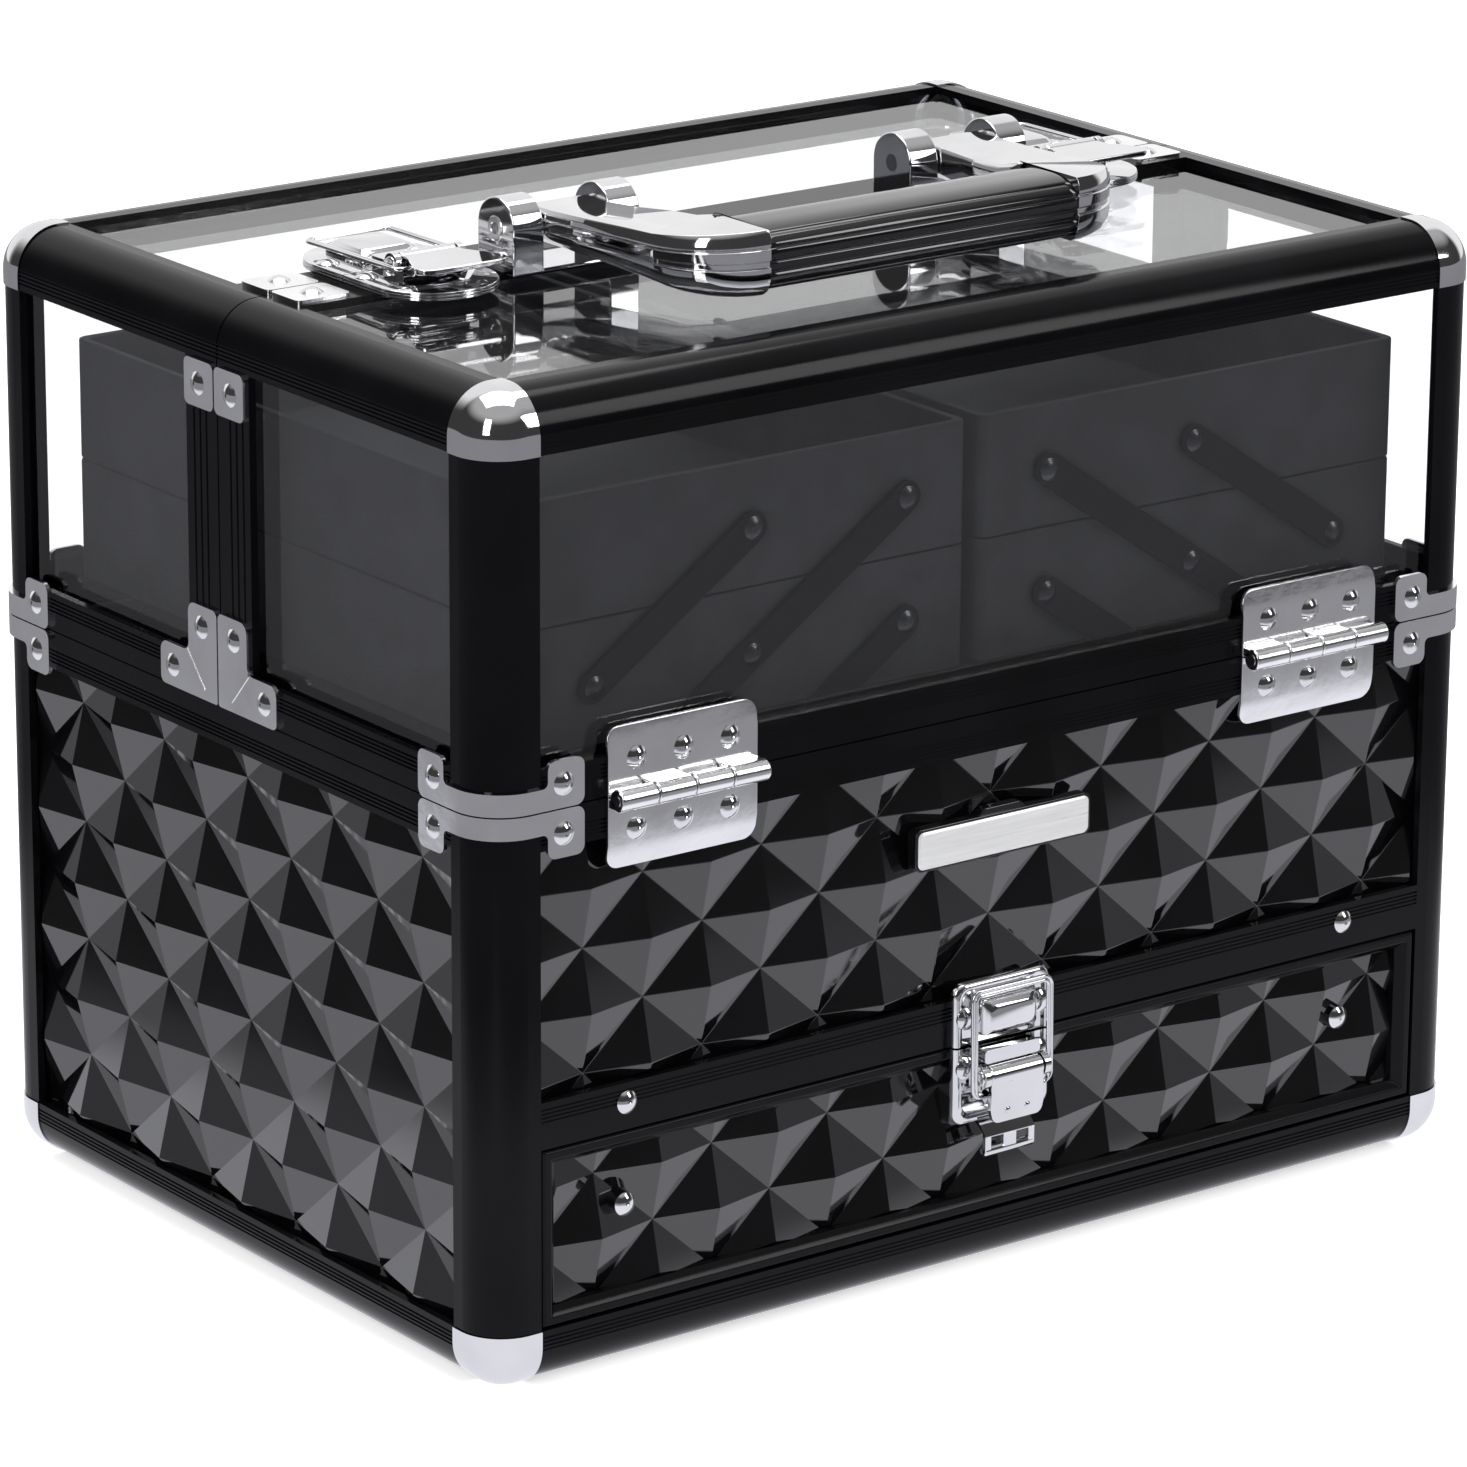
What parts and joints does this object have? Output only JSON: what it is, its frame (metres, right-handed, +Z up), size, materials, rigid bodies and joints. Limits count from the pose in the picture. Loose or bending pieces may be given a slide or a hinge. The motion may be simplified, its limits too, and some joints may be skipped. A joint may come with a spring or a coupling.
{
  "type": "makeup train case",
  "caption": "Makeup train case with black diamond walls, a clear lid that parts along its length, cantilever trays, a latched drawer and a folding handle.",
  "frame": {"origin": "centre of the case's footprint on the ground, midway between its rails", "axes": "+Z up, +X along the case's length, -Y towards the front, where the drawer is"},
  "size_m": [0.3412, 0.2574, 0.291],
  "materials": {
    "black_rails": "black anodised, satin",
    "chrome": "polished plate on steel and zinc",
    "steel": "nickel plated",
    "black_arms": "black enamel on steel",
    "boards": "board lined in black",
    "black_panels": "gloss, moulded in diamonds",
    "clear_panes": "clear acrylic",
    "plate": "brushed and blank",
    "grip": "gloss black",
    "trays": "dark charcoal, finely grained"
  },
  "bodies": {
    "case_base": {"base_frame": "black_rails", "rim_rails": "black_rails", "drawer_divider_rail": "black_rails", "base_corner_caps": "chrome", "base_corner_brackets": "chrome", "base_boards": "boards", "floor_board": "boards", "drawer_shelf": "boards", "front_panel": "black_panels", "end_panels": "black_panels", "back_panel": "black_panels", "drawer_runners": "steel", "lower_hinge_leaves": "chrome", "hinge_pins": "steel", "nameplate": "plate", "drawer_catch": "chrome", "base_rivets": "chrome", "arm_pivots": "black_arms"},
    "front_lid": {"front_lid_frame": "black_rails", "front_lid_seam_bars": "black_rails", "front_lid_panes": "clear_panes", "front_lid_corner_caps": "chrome", "front_lid_brackets": "chrome", "front_hinge_leaves": "chrome", "front_lid_rivets": "chrome", "handle_brackets": "chrome", "handle_pins": "steel", "latch_bases": "chrome"},
    "rear_lid": {"rear_lid_frame": "black_rails", "rear_lid_seam_bars": "black_rails", "rear_lid_panes": "clear_panes", "rear_lid_corner_caps": "chrome", "rear_lid_brackets": "chrome", "rear_hinge_leaves": "chrome", "rear_lid_rivets": "chrome", "latch_catches": "chrome"},
    "handle": {"handle_frame": "chrome", "handle_grip": "grip"},
    "left_latch_lever": {"left_latch_lever": "chrome"},
    "left_latch_bail": {"left_latch_bail": "steel"},
    "right_latch_lever": {"right_latch_lever": "chrome"},
    "right_latch_bail": {"right_latch_bail": "steel"},
    "drawer": {"drawer_front_frame": "black_rails", "drawer_front_panel": "black_panels", "drawer_box": "boards", "drawer_rivets": "chrome", "drawer_latch_base": "chrome"},
    "drawer_latch_lever": {"drawer_latch_lever": "chrome"},
    "drawer_latch_bail": {"drawer_latch_bail": "steel"},
    "left_long_arms": {"left_long_arms": "black_arms"},
    "left_lower_links": {"left_lower_links": "black_arms"},
    "left_middle_tray": {"left_middle_tray": "trays"},
    "left_upper_links": {"left_upper_links": "black_arms"},
    "left_upper_tray": {"left_upper_tray": "trays"},
    "right_long_arms": {"right_long_arms": "black_arms"},
    "right_lower_links": {"right_lower_links": "black_arms"},
    "right_middle_tray": {"right_middle_tray": "trays"},
    "right_upper_links": {"right_upper_links": "black_arms"},
    "right_upper_tray": {"right_upper_tray": "trays"}
  },
  "joints": [
    {"name": "front_lid_hinge", "type": "hinge", "parent": "case_base", "child": "front_lid", "pos_m": [0, -0.1246, 0.1595], "axis": [1, 0, 0], "range_deg": [0, 110]},
    {"name": "rear_lid_hinge", "type": "hinge", "parent": "case_base", "child": "rear_lid", "pos_m": [0, 0.1246, 0.1595], "axis": [-1, 0, 0], "range_deg": [0, 110]},
    {"name": "handle_pivot", "type": "hinge", "parent": "front_lid", "child": "handle", "pos_m": [0, -0.0095, 0.282], "axis": [-1, 0, 0], "range_deg": [0, 90]},
    {"name": "left_lever_pivot", "type": "hinge", "parent": "front_lid", "child": "left_latch_lever", "pos_m": [-0.11, -0.009, 0.2765], "axis": [-1, 0, 0], "range_deg": [0, 100]},
    {"name": "left_bail_pivot", "type": "hinge", "parent": "left_latch_lever", "child": "left_latch_bail", "pos_m": [-0.11, -0.0145, 0.2765], "axis": [-1, 0, 0], "range_deg": [-135, 0]},
    {"name": "right_lever_pivot", "type": "hinge", "parent": "front_lid", "child": "right_latch_lever", "pos_m": [0.11, -0.009, 0.2765], "axis": [-1, 0, 0], "range_deg": [0, 100]},
    {"name": "right_bail_pivot", "type": "hinge", "parent": "right_latch_lever", "child": "right_latch_bail", "pos_m": [0.11, -0.0145, 0.2765], "axis": [-1, 0, 0], "range_deg": [-135, 0]},
    {"name": "drawer_slide", "type": "slide", "parent": "case_base", "child": "drawer", "axis": [0, -1, 0], "range_m": [0, 0.175]},
    {"name": "drawer_lever_pivot", "type": "hinge", "parent": "drawer", "child": "drawer_latch_lever", "pos_m": [0, -0.1265, 0.0587], "axis": [-1, 0, 0], "range_deg": [0, 100]},
    {"name": "drawer_bail_pivot", "type": "hinge", "parent": "drawer_latch_lever", "child": "drawer_latch_bail", "pos_m": [0, -0.1265, 0.0532], "axis": [-1, 0, 0], "range_deg": [-135, 0]},
    {"name": "left_long_arm_pivot", "type": "hinge", "parent": "case_base", "child": "left_long_arms", "pos_m": [-0.126, 0, 0.1507], "axis": [0, -1, 0], "range_deg": [0, 9]},
    {"name": "left_lower_link_pivot", "type": "hinge", "parent": "case_base", "child": "left_lower_links", "pos_m": [-0.075, 0, 0.1507], "axis": [0, -1, 0], "range_deg": [0, 9]},
    {"name": "left_middle_tray_pivot", "type": "hinge", "parent": "left_long_arms", "child": "left_middle_tray", "pos_m": [-0.075, 0, 0.1851], "axis": [0, -1, 0], "range_deg": [-9, 0]},
    {"name": "left_upper_link_pivot", "type": "hinge", "parent": "left_middle_tray", "child": "left_upper_links", "pos_m": [-0.126, 0, 0.1851], "axis": [0, -1, 0], "range_deg": [0, 9]},
    {"name": "left_upper_tray_pivot", "type": "hinge", "parent": "left_long_arms", "child": "left_upper_tray", "pos_m": [-0.024, 0, 0.2195], "axis": [0, -1, 0], "range_deg": [-9, 0]},
    {"name": "right_long_arm_pivot", "type": "hinge", "parent": "case_base", "child": "right_long_arms", "pos_m": [0.126, 0, 0.1507], "axis": [0, 1, 0], "range_deg": [0, 9]},
    {"name": "right_lower_link_pivot", "type": "hinge", "parent": "case_base", "child": "right_lower_links", "pos_m": [0.075, 0, 0.1507], "axis": [0, 1, 0], "range_deg": [0, 9]},
    {"name": "right_middle_tray_pivot", "type": "hinge", "parent": "right_long_arms", "child": "right_middle_tray", "pos_m": [0.075, 0, 0.1851], "axis": [0, 1, 0], "range_deg": [-9, 0]},
    {"name": "right_upper_link_pivot", "type": "hinge", "parent": "right_middle_tray", "child": "right_upper_links", "pos_m": [0.126, 0, 0.1851], "axis": [0, 1, 0], "range_deg": [0, 9]},
    {"name": "right_upper_tray_pivot", "type": "hinge", "parent": "right_long_arms", "child": "right_upper_tray", "pos_m": [0.024, 0, 0.2195], "axis": [0, 1, 0], "range_deg": [-9, 0]}
  ],
  "couplings": [
    {"joint": "left_bail_pivot", "follows": "left_lever_pivot", "ratio": -1.35},
    {"joint": "right_bail_pivot", "follows": "right_lever_pivot", "ratio": -1.35},
    {"joint": "drawer_bail_pivot", "follows": "drawer_lever_pivot", "ratio": -1.35},
    {"joint": "left_lower_link_pivot", "follows": "left_long_arm_pivot", "ratio": 1},
    {"joint": "left_middle_tray_pivot", "follows": "left_long_arm_pivot", "ratio": -1},
    {"joint": "left_upper_link_pivot", "follows": "left_long_arm_pivot", "ratio": 1},
    {"joint": "left_upper_tray_pivot", "follows": "left_long_arm_pivot", "ratio": -1},
    {"joint": "right_lower_link_pivot", "follows": "right_long_arm_pivot", "ratio": 1},
    {"joint": "right_middle_tray_pivot", "follows": "right_long_arm_pivot", "ratio": -1},
    {"joint": "right_upper_link_pivot", "follows": "right_long_arm_pivot", "ratio": 1},
    {"joint": "right_upper_tray_pivot", "follows": "right_long_arm_pivot", "ratio": -1}
  ]
}
